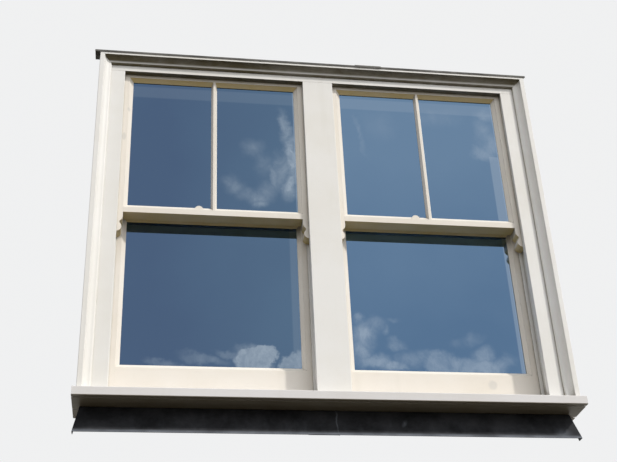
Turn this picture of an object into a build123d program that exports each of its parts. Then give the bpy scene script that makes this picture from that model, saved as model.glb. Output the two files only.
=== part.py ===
from build123d import *
import os
from math import atan2, cos, radians, tan

# Twin box sash window: two double-hung lights side by side in one boxed timber frame.
# X runs across the window, Y from the outside (negative) to the room, Z up. Millimetres.
# Everything is drawn from the front face of the linings, and save() then brings the origin to the
# underside of the sill, midway along it, in the middle of the flat bed behind the lead apron.

# Openings and outer faces
LIGHT_W = 690.0  # clear width of a light between its linings
MULLION_W = 118.0  # face of the lining between the lights
HEAD_Z = 1363.0  # underside of the head lining
LINING_T = 22.0  # thickness of the outer linings
LINING_FACE = 52.0  # flat of a side lining left showing beside the moulding
LINING_W = 88.0  # full width of a side lining
HEAD_FACE = 25.0  # flat of the head lining left showing under the moulding
ARRIS = 1.5  # softened edge of the painted boards
LAP = 12.0  # how far the linings stand over the pulley stile faces

# Moulding round the outside, measured outwards from its inner edge and forwards
MOULD_QUIRK = 3.0
MOULD_ROUND = 8.0
MOULD_SLOPE_W = 27.0
MOULD_D = 32.0
MOULD_STEP = 3.0
MOULD_HOLLOW = 3.0
MOULD_FILLET_W = 18.0
BULGE = 1.0 - cos(radians(45.0))  # how far a quarter round of radius 1 is from its corner at its middle

# Sill
SILL_END = 13.0  # sill beyond the moulding at each end
SILL_FRONT = 54.0  # nosing in front of the linings
SILL_NOSE_H = 30.0
SILL_SLOPE = 10.0  # degrees
SILL_STEP = 9.0  # upstand under the lower sashes
NOSE_R = 3.0
DRIP_INSET = 16.0
DRIP_W = 7.0
DRIP_D = 5.0
HOUSING = 12.0  # depth of the stile housings in the sill

# Boxes
STILE_T = 20.0  # pulley stile thickness
HEAD_T = 22.0  # head board thickness
TONGUE = 8.0  # stile tongue in the head board
BACK_T = 8.0  # back lining thickness
INNER_T = 18.0  # inner lining thickness
SLIP_T = 6.0  # parting slip thickness
SLIP_HANG = 60.0  # gap under the parting slips

# Sashes
SASH_T = 46.0
RUN = 1.5  # running gap round a sash
BEAD_STOP = 1.5  # sill step in front of the parting bead's room face
BEAD_T = 8.0  # parting bead thickness
BEAD_IN = 8.0  # part of the bead let into the stile
STILE_W = 44.0  # sash stile, outer edge to sight line
TOP_RAIL = 36.5
MEET_RAIL = 36.0
MEET_Z = 738.0  # underside of the meeting rails
REBATE_W = 14.0
BEVEL_D = 14.0  # depth of the glazing bevel
UNIT_T = 14.0  # sealed unit, over both panes
PANE_T = 4.0
PANE_GAP = 3.0  # glass edge to rebate floor
SPACER_W = 7.0
SPACER_INSET = 2.0
BAR_W = 22.0
BAR_WEB = 8.0
BEAD_LIP = 1.2
OVOLO = 9.0
QUIRK = 1.5
BOTTOM_SIGHT = 172.0  # sight line above the bottom rail
SILL_REST = 0.5  # lower sash above the sill step
MEET_GAP = 0.8  # between the two meeting rails
MEET_LEAN = 3.0  # lean of their meeting faces
TENON_T = 14.0
TENON_L = 17.0
TENON_EDGE = 3.0

# Ogee horns under the upper sash stiles, as shares of the stile's flat and of the horn's length
HORN_L = 80.0
HORN_HEEL = (0.43, 1.0)
HORN_BELLY = (0.90, 0.75)
HORN_WAIST = (0.717, 0.594)
HORN_HOLLOW = (0.64, 0.5225)
HORN_NAPE = (0.717, 0.4525)
HORN_BROW = (0.92, 0.364)
HORN_NECK = (1.0, 0.25)

# Cords, pulleys and weights
CORD_D = 6.0
CORD_IN = 4.5  # cord centre inside the sash edge
PITCH_R = 20.0
PULLEY_Z = 1270.0
WHEEL_W = 11.0
WHEEL_LIP = 1.5  # rim beyond the cord centre
WHEEL_EASE = 0.2
AXLE_R = 3.0
AXLE_EASE = 0.05
CHEEK_T = 2.0
CHEEK_GAP = 1.0
CHEEK_BACK = 8.0
PLATE_W = 24.0
PLATE_H = 110.0
PLATE_T = 2.5
SLOT_H = 56.0
GROOVE_W = 14.0
GROOVE_D = 11.0
GROOVE_L = 150.0
BORE_EASE = 0.3
CORD_TAIL = 25.0
BORE_SPARE = 8.0
WEIGHT_W = 22.0
WEIGHT_D = 45.0
UPPER_WEIGHT_L = 480.0
LOWER_WEIGHT_L = 500.0
UPPER_WEIGHT_Z = 95.0
LOWER_WEIGHT_TOP = 1215.0
WEIGHT_ROUND = 4.0
POCKET_Z = 150.0
POCKET_L = 380.0
POCKET_W = 40.0
SAW_CUT = 0.6

# Room side beads
STAFF_W = 14.0
STAFF_D = 22.0
STAFF_R = 8.0
STAFF_LAP = 2.0  # stile left showing behind the sash run

# Hardware on the sashes
LIFT_X = 180.0
LIFT_Z = 112.0
LIFT_W = 34.0
LIFT_H = 44.0
LIFT_T = 3.0
LIFT_REACH = 20.0
LIFT_LIP = 12.0
FASTENER_X = -42.0  # from the middle of a light, clear of the glazing bar
FASTENER_L = 62.0
FASTENER_W = 26.0
PLATE_THIN = 3.0
PIVOT_R = 6.0
RIVET_T = 2.5
PIVOT_EASE = 0.05
ARM_T = 5.0
ARM_W = 12.0
ARM_REACH = 36.0
ARM_TAIL = 30.0
KNOB_R = 6.0
ARM_LIFT = 5.0  # keeps the arm above a lowered upper sash
ARM_PLAY = 0.5
RIVET_R = 9.0
KEEPER_L = 34.0
KEEPER_D = 20.0
KEEPER_WALL = 3.0
KEEPER_EASE = 1.0
KEEPER_SIDE = 2.0  # room beside the arm
CAP_W = 30.0
CAP_H = 18.0
CAP_T = 11.0
CAP_X = -54.0

# Lead
LEAD_T = 2.2
FLASH_LEFT = 20.0
FLASH_RIGHT = 7.0
FLASH_BACK = 30.0
FLASH_UP = 45.0
FLASH_DOWN = 8.0
LAPPED_BEND_R = 6.0  # bends that one sheet makes inside another at a lap
LAP_L = 100.0
LAP_EASE = 0.1
JOGGLE = 4.0
FLASH_LAP_X = 150.0
APRON_LAP_X = -94.0
APRON_BACK = 43.0
APRON_LIP = 25.0
APRON_TURN = 8.0  # lead turned up into the groove under the sill
APRON_H = 100.0
APRON_KICK = 38.0
APRON_LEFT = 24.0
APRON_RIGHT = 34.0
APRON_FLARE = 18.0  # how much further out each bottom corner is
APRON_RETURN = 26.0
LEAD_GROOVE_W = 8.0
LEAD_GROOVE_D = 10.0

# Places worked out from the sizes above
LIGHT_X = (MULLION_W + LIGHT_W) / 2
LIGHTS = {"left": -LIGHT_X, "right": LIGHT_X}
ARRIS_X = MULLION_W / 2 + LIGHT_W  # outer arris of each light
BOX_X = ARRIS_X + LINING_W
FACE_HALF = LIGHT_W / 2 + LAP  # light middle to pulley stile face
SASH_HALF = FACE_HALF - RUN
MOULD_W = MOULD_SLOPE_W + MOULD_FILLET_W
MOULD_X = ARRIS_X + LINING_FACE
SILL_L = 2 * (MOULD_X + MOULD_W + SILL_END)
MOULD_Z = HEAD_Z + HEAD_FACE
TOP_Z = MOULD_Z + MOULD_W
HEAD_BOARD_Z = HEAD_Z + LAP
UPPER_Y = LINING_T + RUN
PARTING_Y = UPPER_Y + SASH_T + RUN
LOWER_Y = PARTING_Y + BEAD_T + RUN
STAFF_Y = LOWER_Y + SASH_T + RUN
INNER_Y = STAFF_Y + STAFF_LAP
BACK_Y = INNER_Y + INNER_T
UPPER_TOP = HEAD_BOARD_Z - RUN
MEET_TOP = MEET_Z + MEET_RAIL
REBATE_D = BEVEL_D + UNIT_T
FLAT_W = STILE_W - REBATE_W
SPLIT_Y = PARTING_Y + BEAD_T / 2
STEP_Y = LOWER_Y - RUN - BEAD_STOP
CORD_OUT = RUN + CORD_IN  # cord centre in front of the stile face
WHEEL_X = PITCH_R - CORD_OUT  # wheel centre behind the stile face
WHEEL_R = PITCH_R + WHEEL_LIP
HANG_X = WHEEL_X + PITCH_R
CORD_R = CORD_D / 2
HOLE_R = CORD_R + BORE_EASE
CORD_Y = {"upper": UPPER_Y + SASH_T / 2, "lower": LOWER_Y + SASH_T / 2}
SASH_TOP = {"upper": UPPER_TOP, "lower": MEET_TOP}
WEIGHT_L = {"upper": UPPER_WEIGHT_L, "lower": LOWER_WEIGHT_L}
WEIGHT_TOP = {"upper": UPPER_WEIGHT_Z + UPPER_WEIGHT_L, "lower": LOWER_WEIGHT_TOP}
BEND_R = ARRIS + LEAD_T / 2  # middle of the sheet, so that it clears the softened moulding
LIP_Y = APRON_BACK + APRON_LIP
BED_Y = (LIP_Y + LEAD_GROOVE_W / 2 + BACK_Y) / 2
CORNER = (Align.MIN, Align.MIN, Align.MIN)
STANDING = (Align.CENTER, Align.CENTER, Align.MIN)
FAR = 4000.0  # longer than anything here, for cutting tools


def sill_z(y):
    """Height of the sill's weathering slope at depth y."""
    return SILL_NOSE_H + (y + SILL_FRONT) * tan(radians(SILL_SLOPE))


STEP_Z = sill_z(STEP_Y) + SILL_STEP
BACK_Z = STEP_Z + (STAFF_Y - STEP_Y) * tan(radians(SILL_SLOPE))
STILE_FOOT = sill_z(LINING_T) - HOUSING


def save(name, *solids):
    """Label a finished piece, or a group of separate ones, and write it in its final place."""
    placed = [Pos(0, -BED_Y, 0) * solid for solid in solids]
    whole = placed[0] if len(placed) == 1 else Compound(children=placed)
    whole.label = name
    export_step(whole, f"parts/{name}.step")


def block(low, high, mode=Mode.ADD):
    """Add a box between two opposite corners to the piece being built."""
    with Locations(low):
        Box(*(b - a for a, b in zip(low, high)), align=CORNER, mode=mode)


def board(low, high, drop=()):
    """A plain board, less the pieces that it is cut round."""
    with BuildPart() as piece:
        block(low, high)
        for other in drop:
            add(other, mode=Mode.SUBTRACT)
    return piece.part


def soften(piece, edges, size=ARRIS):
    """Take the sharpness off chosen edges of a board."""
    with BuildPart() as eased:
        add(piece)
        fillet(edges(eased), radius=size)
    return eased.part


def upright(outline, low, high):
    """Extrude an (x, y) outline from one height to another."""
    with BuildPart() as piece:
        with BuildSketch(Plane.XY.offset(low)):
            with BuildLine():
                Polyline(*outline, close=True)
            make_face()
        extrude(amount=high - low)
    return piece.part


def level(outline, left, right):
    """Extrude a (y, z) outline from one place across the window to another."""
    with BuildPart() as piece:
        with BuildSketch(Plane.YZ.offset(left)):
            with BuildLine():
                Polyline(*outline, close=True)
            make_face()
        extrude(amount=right - left)
    return piece.part


def keep_between(piece, outline):
    """Keep only what lies inside an (x, z) outline seen from the front."""
    with BuildPart() as kept:
        add(piece)
        with BuildSketch(Plane.XZ):
            with BuildLine():
                Polyline(*outline, close=True)
            make_face()
        extrude(amount=FAR, both=True, mode=Mode.INTERSECT)
    return kept.part


# Sections. Each is drawn as (out, depth) pairs: out from a sight line or inner edge, depth into the room.
# A section builder receives place(out, depth), which turns a pair into sketch coordinates.


def moulding_section(place):
    """Quirk, small round, long hollow and an outer fillet."""
    top = MOULD_D - MOULD_STEP
    round_end = (MOULD_ROUND, -(MOULD_QUIRK + MOULD_ROUND))
    round_middle = (MOULD_ROUND * BULGE, -(MOULD_QUIRK + MOULD_ROUND * (1 - BULGE)))
    slope_end = (MOULD_SLOPE_W, -top)
    Polyline(place(MOULD_W, 0), place(0, 0), place(0, -MOULD_QUIRK))
    ThreePointArc(place(0, -MOULD_QUIRK), place(*round_middle), place(*round_end))
    hollow = [(a + b) / 2 + MOULD_HOLLOW for a, b in zip(round_end, slope_end)]
    ThreePointArc(place(*round_end), place(*hollow), place(*slope_end))
    Polyline(
        place(*slope_end),
        place(MOULD_SLOPE_W, -MOULD_D + ARRIS),
        place(MOULD_SLOPE_W + ARRIS, -MOULD_D),
        place(MOULD_W - ARRIS, -MOULD_D),
        place(MOULD_W, -MOULD_D + ARRIS),
        place(MOULD_W, 0),
    )


def staff_section(place):
    """Flat bead with a rounded inner corner on the room side."""
    back = STAFF_Y + STAFF_D
    Polyline(
        place(STAFF_W - STAFF_R, back),
        place(STAFF_W, back),
        place(STAFF_W, STAFF_Y),
        place(0, STAFF_Y),
        place(0, back - STAFF_R),
    )
    RadiusArc(place(0, back - STAFF_R), place(STAFF_R, back), place.turn * STAFF_R)
    Line(place(STAFF_R, back), place(STAFF_W - STAFF_R, back))


class Place:
    """Turns (out, depth) pairs into sketch coordinates for one side of a rectangle."""

    def __init__(self, side, inner, front):
        self.side = side
        left, right, low, high = inner
        self.edge = {"left": left, "right": right, "bottom": low, "top": high}[side]
        self.sign = -1.0 if side in ("left", "bottom") else 1.0
        self.turn = 1.0 if side in ("left", "top") else -1.0
        self.front = front

    def __call__(self, out, depth):
        across = self.edge + self.sign * out
        if self.side in ("left", "right"):
            return (across, self.front + depth)
        return (self.front + depth, across)


def mitred_bar(section, side, inner, width, front=0.0, mitre=("low", "high")):
    """One side of a mitred surround whose inner edge is inner = left, right, low, high."""
    left, right, low, high = inner
    place = Place(side, inner, front)
    if side in ("left", "right"):
        plane, length = Plane.XY.offset(low - width), high - low + 2 * width
    else:
        plane, length = Plane.YZ.offset(left - width), right - left + 2 * width
    with BuildPart() as bar:
        with BuildSketch(plane):
            with BuildLine():
                section(place)
            make_face()
        extrude(amount=length)
    left_o, right_o, low_o, high_o = left - width, right + width, low - width, high + width
    if "low" not in mitre:
        low_o = low
    outline = {
        "left": ((left, low), (left, high), (left_o, high_o), (left_o, low_o)),
        "right": ((right, low), (right_o, low_o), (right_o, high_o), (right, high)),
        "bottom": ((left, low), (left_o, low_o), (right_o, low_o), (right, low)),
        "top": ((left, high), (right, high), (right_o, high_o), (left_o, high_o)),
    }[side]
    return keep_between(bar.part, outline)


def bevel_section(width):
    """Bevelled glazing bead, from the flat of the sash down to a thin lip on the glass."""

    def draw(place):
        Polyline(
            place(width, BEAD_LIP),
            place(0, BEVEL_D - BEAD_LIP),
            place(0, BEVEL_D),
            place(width, BEVEL_D),
            close=True,
        )

    return draw


def sash_outline(place, width):
    """Flat face, glazing rebate and ovolo of a sash member, measured inwards from its outer edge."""
    flat = width - REBATE_W
    inner = width - QUIRK
    Polyline(
        place(0, SASH_T),
        place(0, 0),
        place(flat, 0),
        place(flat, REBATE_D),
        place(width, REBATE_D),
        place(width, SASH_T - OVOLO - QUIRK),
        place(inner, SASH_T - OVOLO - QUIRK),
    )
    ThreePointArc(
        place(inner, SASH_T - OVOLO - QUIRK),
        place(inner - OVOLO * BULGE, SASH_T - QUIRK - OVOLO * BULGE),
        place(inner - OVOLO, SASH_T - QUIRK),
    )
    Polyline(place(inner - OVOLO, SASH_T - QUIRK), place(inner - OVOLO, SASH_T), place(0, SASH_T))


def sash_member(side, outer, width, front, start, end):
    """A straight length of the sash section along one side of the sash."""
    place = Place(side, outer, front)

    def inward(out, depth):
        return place(-out, depth)

    plane = Plane.XY.offset(start) if side in ("left", "right") else Plane.YZ.offset(start)
    with BuildPart() as member:
        with BuildSketch(plane):
            with BuildLine():
                sash_outline(inward, width)
            make_face()
        extrude(amount=end - start)
    return member.part


def horn(edge, sign, front):
    """Ogee horn: the end of a stile below its meeting rail, shaped like a hooked scroll."""

    def at(share):
        return (edge + sign * FLAT_W * share[0], MEET_Z - HORN_L * share[1])

    with BuildPart() as scroll:
        with BuildSketch(Plane.XZ.offset(-front)):
            with BuildLine():
                Polyline(at(HORN_NECK), at((1, 0)), at((0, 0)), at((0, 1)), at(HORN_HEEL))
                ThreePointArc(at(HORN_HEEL), at(HORN_BELLY), at(HORN_WAIST))
                ThreePointArc(at(HORN_WAIST), at(HORN_HOLLOW), at(HORN_NAPE))
                ThreePointArc(at(HORN_NAPE), at(HORN_BROW), at(HORN_NECK))
            make_face()
        extrude(amount=-SASH_T)
    return scroll.part


def tenon(side, outer, front, low, high):
    """Corners of the tenon that a rail puts into a stile."""
    left, right = outer[0], outer[1]
    deep = FLAT_W - TENON_L
    y0 = front + (REBATE_D - TENON_T) / 2 + TENON_T / 2
    if side == "left":
        return (left + deep, y0, low), (left + FLAT_W, y0 + TENON_T, high)
    return (right - FLAT_W, y0, low), (right - deep, y0 + TENON_T, high)


def sash_stile(side, outer, front, tenons, with_horn):
    """A sash stile with its mortices, its cord groove and the bored hole for the cord's end."""
    left, right, low, high = outer
    edge, sign = (left, 1.0) if side == "left" else (right, -1.0)
    middle = front + SASH_T / 2
    groove_end = high - GROOVE_L
    floor = edge + sign * GROOVE_D
    cord_x = edge + sign * CORD_IN
    with BuildPart() as stile:
        add(sash_member(side, outer, STILE_W, front, low, high))
        if with_horn:
            add(horn(edge, sign, front))
        for bottom, top in tenons:
            block(*tenon(side, outer, front, bottom, top), mode=Mode.SUBTRACT)
        block(
            (min(edge, floor), middle - GROOVE_W / 2, groove_end),
            (max(edge, floor), middle + GROOVE_W / 2, high),
            mode=Mode.SUBTRACT,
        )
        depth = CORD_TAIL + BORE_SPARE
        with Locations((cord_x, middle, groove_end - depth)):
            Cylinder(HOLE_R, depth, align=STANDING, mode=Mode.SUBTRACT)
    return stile.part


def sash_rail(side, outer, width, front, stiles, mortice, extras=()):
    """A rail scribed over both stiles, with a stub tenon at each end."""
    left, right = outer[0], outer[1]
    with BuildPart() as rail:
        add(sash_member(side, outer, width, front, left + FLAT_W, right - FLAT_W))
        for extra in extras:
            add(extra)
        for stile in stiles:
            add(stile, mode=Mode.SUBTRACT)
        for end in ("left", "right"):
            block(*tenon(end, outer, front, *mortice))
    return rail.part


def meeting_face(z):
    """Depth of the leaning plane between the two meeting rails."""
    return SPLIT_Y + MEET_LEAN / 2 - MEET_LEAN * (z - MEET_Z) / MEET_RAIL


def meeting_tongue(kind, outer):
    """The extra depth of a meeting rail, which fills the parting bead's space behind a leaning face."""
    reach = FACE_HALF - LAP - RUN
    middle = (outer[0] + outer[1]) / 2
    if kind == "upper":
        low, back, gap = MEET_Z, UPPER_Y + REBATE_D, -MEET_GAP / 2
    else:
        low, back, gap = MEET_Z + REBATE_W, LOWER_Y + BEVEL_D, MEET_GAP / 2
    outline = (
        (back, low),
        (meeting_face(low) + gap, low),
        (meeting_face(MEET_TOP) + gap, MEET_TOP),
        (back, MEET_TOP),
    )
    return level(outline, middle - reach, middle + reach)


def glass_unit(left, right, low, high, front):
    """A sealed unit: two panes held apart by four spacer bars."""
    y0 = front + BEVEL_D
    gap_y = (y0 + PANE_T, y0 + UNIT_T - PANE_T)
    panes = [
        board((left, y0, low), (right, gap_y[0], high)),
        board((left, gap_y[1], low), (right, y0 + UNIT_T, high)),
    ]
    inset, width = SPACER_INSET, SPACER_W
    posts = [(left + inset, left + inset + width), (right - inset - width, right - inset)]
    bars = [(low + inset, low + inset + width), (high - inset - width, high - inset)]
    spacers = [board((a, gap_y[0], low + inset), (b, gap_y[1], high - inset)) for a, b in posts]
    across = (posts[0][1], posts[1][0])
    spacers += [board((across[0], gap_y[0], a), (across[1], gap_y[1], b)) for a, b in bars]
    return panes + spacers


def bar_beads(x, low, high, front, ends):
    """The narrow beads on both sides of a glazing bar, scribed over the beads along the rails."""
    web, half = BAR_WEB / 2, BAR_W / 2
    beads = []
    for sign in (-1.0, 1.0):
        outline = (
            (x + sign * web, front + BEAD_LIP),
            (x + sign * half, front + BEVEL_D - BEAD_LIP),
            (x + sign * half, front + BEVEL_D),
            (x + sign * web, front + BEVEL_D),
        )
        with BuildPart() as bead:
            add(upright(outline, low - REBATE_W, high + REBATE_W))
            for end in ends:
                add(end, mode=Mode.SUBTRACT)
        beads.append(bead.part)
    return beads


def make_sill():
    """Sill: nosing, weathering slope, step and flat back, with a drip and a groove for the lead."""
    nose = -SILL_FRONT
    with BuildPart() as sill:
        with BuildSketch(Plane.YZ.offset(-SILL_L / 2)):
            with BuildLine():
                Polyline(
                    (nose, 0),
                    (nose, SILL_NOSE_H),
                    (STEP_Y, sill_z(STEP_Y)),
                    (STEP_Y, STEP_Z),
                    (STAFF_Y, BACK_Z),
                    (BACK_Y, BACK_Z),
                    (BACK_Y, 0),
                    close=True,
                )
            make_face()
        extrude(amount=SILL_L)
        front_edges = sill.edges().filter_by(Axis.X).group_by(Axis.Y)[0]
        fillet(front_edges, radius=NOSE_R)
        drip = nose + DRIP_INSET
        block((-SILL_L / 2, drip, 0), (SILL_L / 2, drip + DRIP_W, DRIP_D), mode=Mode.SUBTRACT)
        groove = LIP_Y - LEAD_GROOVE_W / 2
        block(
            (-SILL_L / 2, groove, 0),
            (SILL_L / 2, groove + LEAD_GROOVE_W, LEAD_GROOVE_D),
            mode=Mode.SUBTRACT,
        )
    return sill.part


def stile_faces():
    """Face x of each pulley stile, with the direction from its face into its box."""
    faces = []
    for middle in LIGHTS.values():
        faces.append((middle - FACE_HALF, -1.0))
        faces.append((middle + FACE_HALF, 1.0))
    return faces


def span(a, b):
    return (min(a, b), max(a, b))


def make_pulley_stile(face, into):
    """Pulley stile, grooved for the parting bead, slotted for both pulleys, cut for the pocket."""
    x0, x1 = span(face, face + into * STILE_T)
    bead = span(face, face + into * BEAD_IN)
    plate = span(face, face + into * PLATE_T)
    slot_half = WHEEL_W / 2 + CHEEK_GAP + CHEEK_T
    pocket_y = SPLIT_Y + BEAD_T / 2 + RUN
    with BuildPart() as stile:
        block((x0, LINING_T, STILE_FOOT), (x1, INNER_Y, HEAD_BOARD_Z + TONGUE))
        block(
            (bead[0], PARTING_Y, STILE_FOOT),
            (bead[1], PARTING_Y + BEAD_T, HEAD_BOARD_Z),
            mode=Mode.SUBTRACT,
        )
        for y in CORD_Y.values():
            block(
                (x0, y - slot_half, PULLEY_Z - SLOT_H / 2),
                (x1, y + slot_half, PULLEY_Z + SLOT_H / 2),
                mode=Mode.SUBTRACT,
            )
            block(
                (plate[0], y - PLATE_W / 2, PULLEY_Z - PLATE_H / 2),
                (plate[1], y + PLATE_W / 2, PULLEY_Z + PLATE_H / 2),
                mode=Mode.SUBTRACT,
            )
        block(
            (x0, pocket_y, POCKET_Z),
            (x1, pocket_y + POCKET_W, POCKET_Z + POCKET_L),
            mode=Mode.SUBTRACT,
        )
    return stile.part


def make_pocket_piece(face, into):
    """The cover of a weight pocket, a saw cut smaller than its hole."""
    x0, x1 = span(face, face + into * STILE_T)
    y0 = SPLIT_Y + BEAD_T / 2 + RUN
    return board(
        (x0, y0 + SAW_CUT, POCKET_Z),
        (x1, y0 + POCKET_W - SAW_CUT, POCKET_Z + POCKET_L - SAW_CUT),
    )


def make_pulley_case(face, into, y):
    """Axle pulley case: a round-ended face plate, two cheeks behind it and the axle."""
    centre = face + into * WHEEL_X
    cheek_in = WHEEL_W / 2 + CHEEK_GAP
    plate = span(face, face + into * PLATE_T)
    cheek = span(face, centre + into * CHEEK_BACK)
    cheek_h = SLOT_H - 2 * PLATE_T
    with BuildPart() as case:
        block(
            (plate[0], y - PLATE_W / 2, PULLEY_Z - PLATE_H / 2),
            (plate[1], y + PLATE_W / 2, PULLEY_Z + PLATE_H / 2),
        )
        block(
            (plate[0], y - cheek_in, PULLEY_Z - cheek_h / 2),
            (plate[1], y + cheek_in, PULLEY_Z + cheek_h / 2),
            mode=Mode.SUBTRACT,
        )
        for sign in (-1.0, 1.0):
            near, far = span(y + sign * cheek_in, y + sign * (cheek_in + CHEEK_T))
            block(
                (cheek[0], near, PULLEY_Z - cheek_h / 2),
                (cheek[1], far, PULLEY_Z + cheek_h / 2),
            )
        with Locations(Location((centre, y, PULLEY_Z), (90, 0, 0))):
            Cylinder(AXLE_R, 2 * (cheek_in + CHEEK_T))
    return case.part


def make_wheel(face, into, y):
    """Pulley wheel with a round groove that fits the cord, turned about its axle."""
    centre = face + into * WHEEL_X
    half = WHEEL_W / 2
    groove = CORD_R + WHEEL_EASE
    with BuildPart() as wheel:
        with BuildSketch(Plane.XY):
            with BuildLine():
                Polyline(
                    (WHEEL_R, -groove),
                    (WHEEL_R, -half),
                    (AXLE_R + AXLE_EASE, -half),
                    (AXLE_R + AXLE_EASE, half),
                    (WHEEL_R, half),
                    (WHEEL_R, groove),
                    (PITCH_R, groove),
                )
                ThreePointArc((PITCH_R, groove), (PITCH_R - groove, 0), (PITCH_R, -groove))
                Line((PITCH_R, -groove), (WHEEL_R, -groove))
            make_face()
        revolve(axis=Axis.Y)
    return Pos(centre, y, PULLEY_Z) * wheel.part


def make_cord(face, into, kind):
    """Cord from its hole in the sash edge, over the pulley and down to its weight."""
    y = CORD_Y[kind]
    near, far = face - into * CORD_OUT, face + into * HANG_X
    low = SASH_TOP[kind] - GROOVE_L - CORD_TAIL
    weight = WEIGHT_TOP[kind] - CORD_TAIL
    crown = (face + into * WHEEL_X, y, PULLEY_Z + PITCH_R)
    with BuildPart() as cord:
        with BuildLine() as path:
            Line((near, y, low), (near, y, PULLEY_Z))
            ThreePointArc((near, y, PULLEY_Z), crown, (far, y, PULLEY_Z))
            Line((far, y, PULLEY_Z), (far, y, weight))
        with BuildSketch(Plane((near, y, low), z_dir=(0, 0, 1))):
            Circle(CORD_R)
        sweep(path=path.wires()[0])
    print(f"{kind} sash cord: arc radius {PITCH_R:g} mm, length {path.wires()[0].length:.0f} mm")
    return cord.part


def make_weight(face, into, kind):
    """Lead sash weight, bored at the top for its cord."""
    x, y = face + into * HANG_X, CORD_Y[kind]
    top = WEIGHT_TOP[kind]
    length = WEIGHT_L[kind]
    with BuildPart() as weight:
        with Locations((x, y, top - length)):
            Box(WEIGHT_W, WEIGHT_D, length, align=STANDING)
        fillet(weight.edges().filter_by(Axis.Z), radius=WEIGHT_ROUND)
        depth = CORD_TAIL + BORE_SPARE
        with Locations((x, y, top - depth)):
            Cylinder(HOLE_R, depth, align=STANDING, mode=Mode.SUBTRACT)
    return weight.part


def make_lift(x):
    """Hook sash lift on the room face of a bottom rail: back plate and a curled hook."""
    back = LOWER_Y + SASH_T
    low = LIFT_Z
    with BuildPart() as lift:
        with BuildSketch(Plane.YZ.offset(x - LIFT_W / 2)):
            with BuildLine():
                Polyline(
                    (back, low),
                    (back, low + LIFT_H),
                    (back + LIFT_T, low + LIFT_H),
                    (back + LIFT_T, low + LIFT_T + LIFT_LIP),
                )
                RadiusArc(
                    (back + LIFT_T, low + LIFT_T + LIFT_LIP),
                    (back + LIFT_REACH - LIFT_T, low + LIFT_T + LIFT_LIP),
                    -(LIFT_REACH - 2 * LIFT_T) / 2 - ARRIS,
                )
                Line(
                    (back + LIFT_REACH - LIFT_T, low + LIFT_T + LIFT_LIP),
                    (back + LIFT_REACH, low + LIFT_T + LIFT_LIP),
                )
                RadiusArc(
                    (back + LIFT_REACH, low + LIFT_T + LIFT_LIP),
                    (back, low),
                    LIFT_REACH,
                )
            make_face()
        extrude(amount=LIFT_W)
    return lift.part


def make_sash(name, kind, middle):
    """All the pieces of one sash, written as its own nodes."""
    upper = kind == "upper"
    left, right = middle - SASH_HALF, middle + SASH_HALF
    front = UPPER_Y if upper else LOWER_Y
    low, high = (MEET_Z, UPPER_TOP) if upper else (STEP_Z, MEET_TOP)
    outer = (left, right, low, high)
    top_w = TOP_RAIL if upper else MEET_RAIL
    bottom_w = MEET_RAIL if upper else BOTTOM_SIGHT - low
    sights = (left + STILE_W, right - STILE_W, low + bottom_w, high - top_w)
    foot = low + TENON_EDGE + (0 if upper else REBATE_D)
    mortices = (
        (foot, sights[2] - REBATE_W - TENON_EDGE),
        (sights[3] + REBATE_W + TENON_EDGE, high - TENON_EDGE),
    )
    stiles = [sash_stile(side, outer, front, mortices, upper) for side in ("left", "right")]
    cap = meeting_cap(middle)
    tongue = meeting_tongue(kind, outer)
    extras = ((tongue, cap), ()) if upper else ((), (tongue,))
    bottom = sash_rail("bottom", outer, bottom_w, front, stiles, mortices[0], extras[0])
    top = sash_rail("top", outer, top_w, front, stiles, mortices[1], extras[1])
    beads = {
        side: mitred_bar(bevel_section(REBATE_W), side, sights, REBATE_W, front)
        for side in ("left", "right", "bottom", "top")
    }
    if upper:
        ends = split_round_bar(beads["bottom"], middle, cap) + split_round_bar(beads["top"], middle, cap)
        bars = bar_beads(middle, sights[2], sights[3], front, ends)
        glazing = [beads["left"], beads["right"], *ends, *bars]
        save(f"upper_{name}_glazing_bar", make_bar(middle, front, sights[2], sights[3], (top, bottom)))
    else:
        glazing = list(beads.values())
        stiles = [fit_to_sill(stile, left, right) for stile in stiles]
        bottom = fit_to_sill(bottom, left, right)
        save(f"lower_{name}_lifts", *(make_lift(middle + x) for x in (-LIFT_X, LIFT_X)))
    save(f"{kind}_{name}_stiles", *stiles)
    save(f"{kind}_{name}_rails", top, bottom)
    save(f"{kind}_{name}_glazing_beads", *glazing)
    save(f"{kind}_{name}_glass", *make_glass(middle, sights, front, upper))


def make_glass(middle, sights, front, divided):
    """The sealed units of a sash: two either side of a glazing bar, or one."""
    out = REBATE_W - PANE_GAP
    bar_edge = (BAR_WEB + PANE_GAP) / 2
    bays = [(sights[0] - out, sights[1] + out)]
    if divided:
        bays = [(sights[0] - out, middle - bar_edge), (middle + bar_edge, sights[1] + out)]
    solids = []
    for x0, x1 in bays:
        solids += glass_unit(x0, x1, sights[2] - out, sights[3] + out, front)
    return solids


def split_round_bar(bead, middle, cap):
    """The two lengths of a bead either side of the glazing bar's web, let round the cap."""
    web = BAR_WEB / 2
    halves = []
    for x0, x1 in ((middle - FAR, middle - web), (middle + web, middle + FAR)):
        with BuildPart() as half:
            add(bead)
            block((x0, -FAR, -FAR), (x1, FAR, FAR), mode=Mode.INTERSECT)
            add(cap, mode=Mode.SUBTRACT)
        halves.append(half.part)
    return halves


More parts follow.
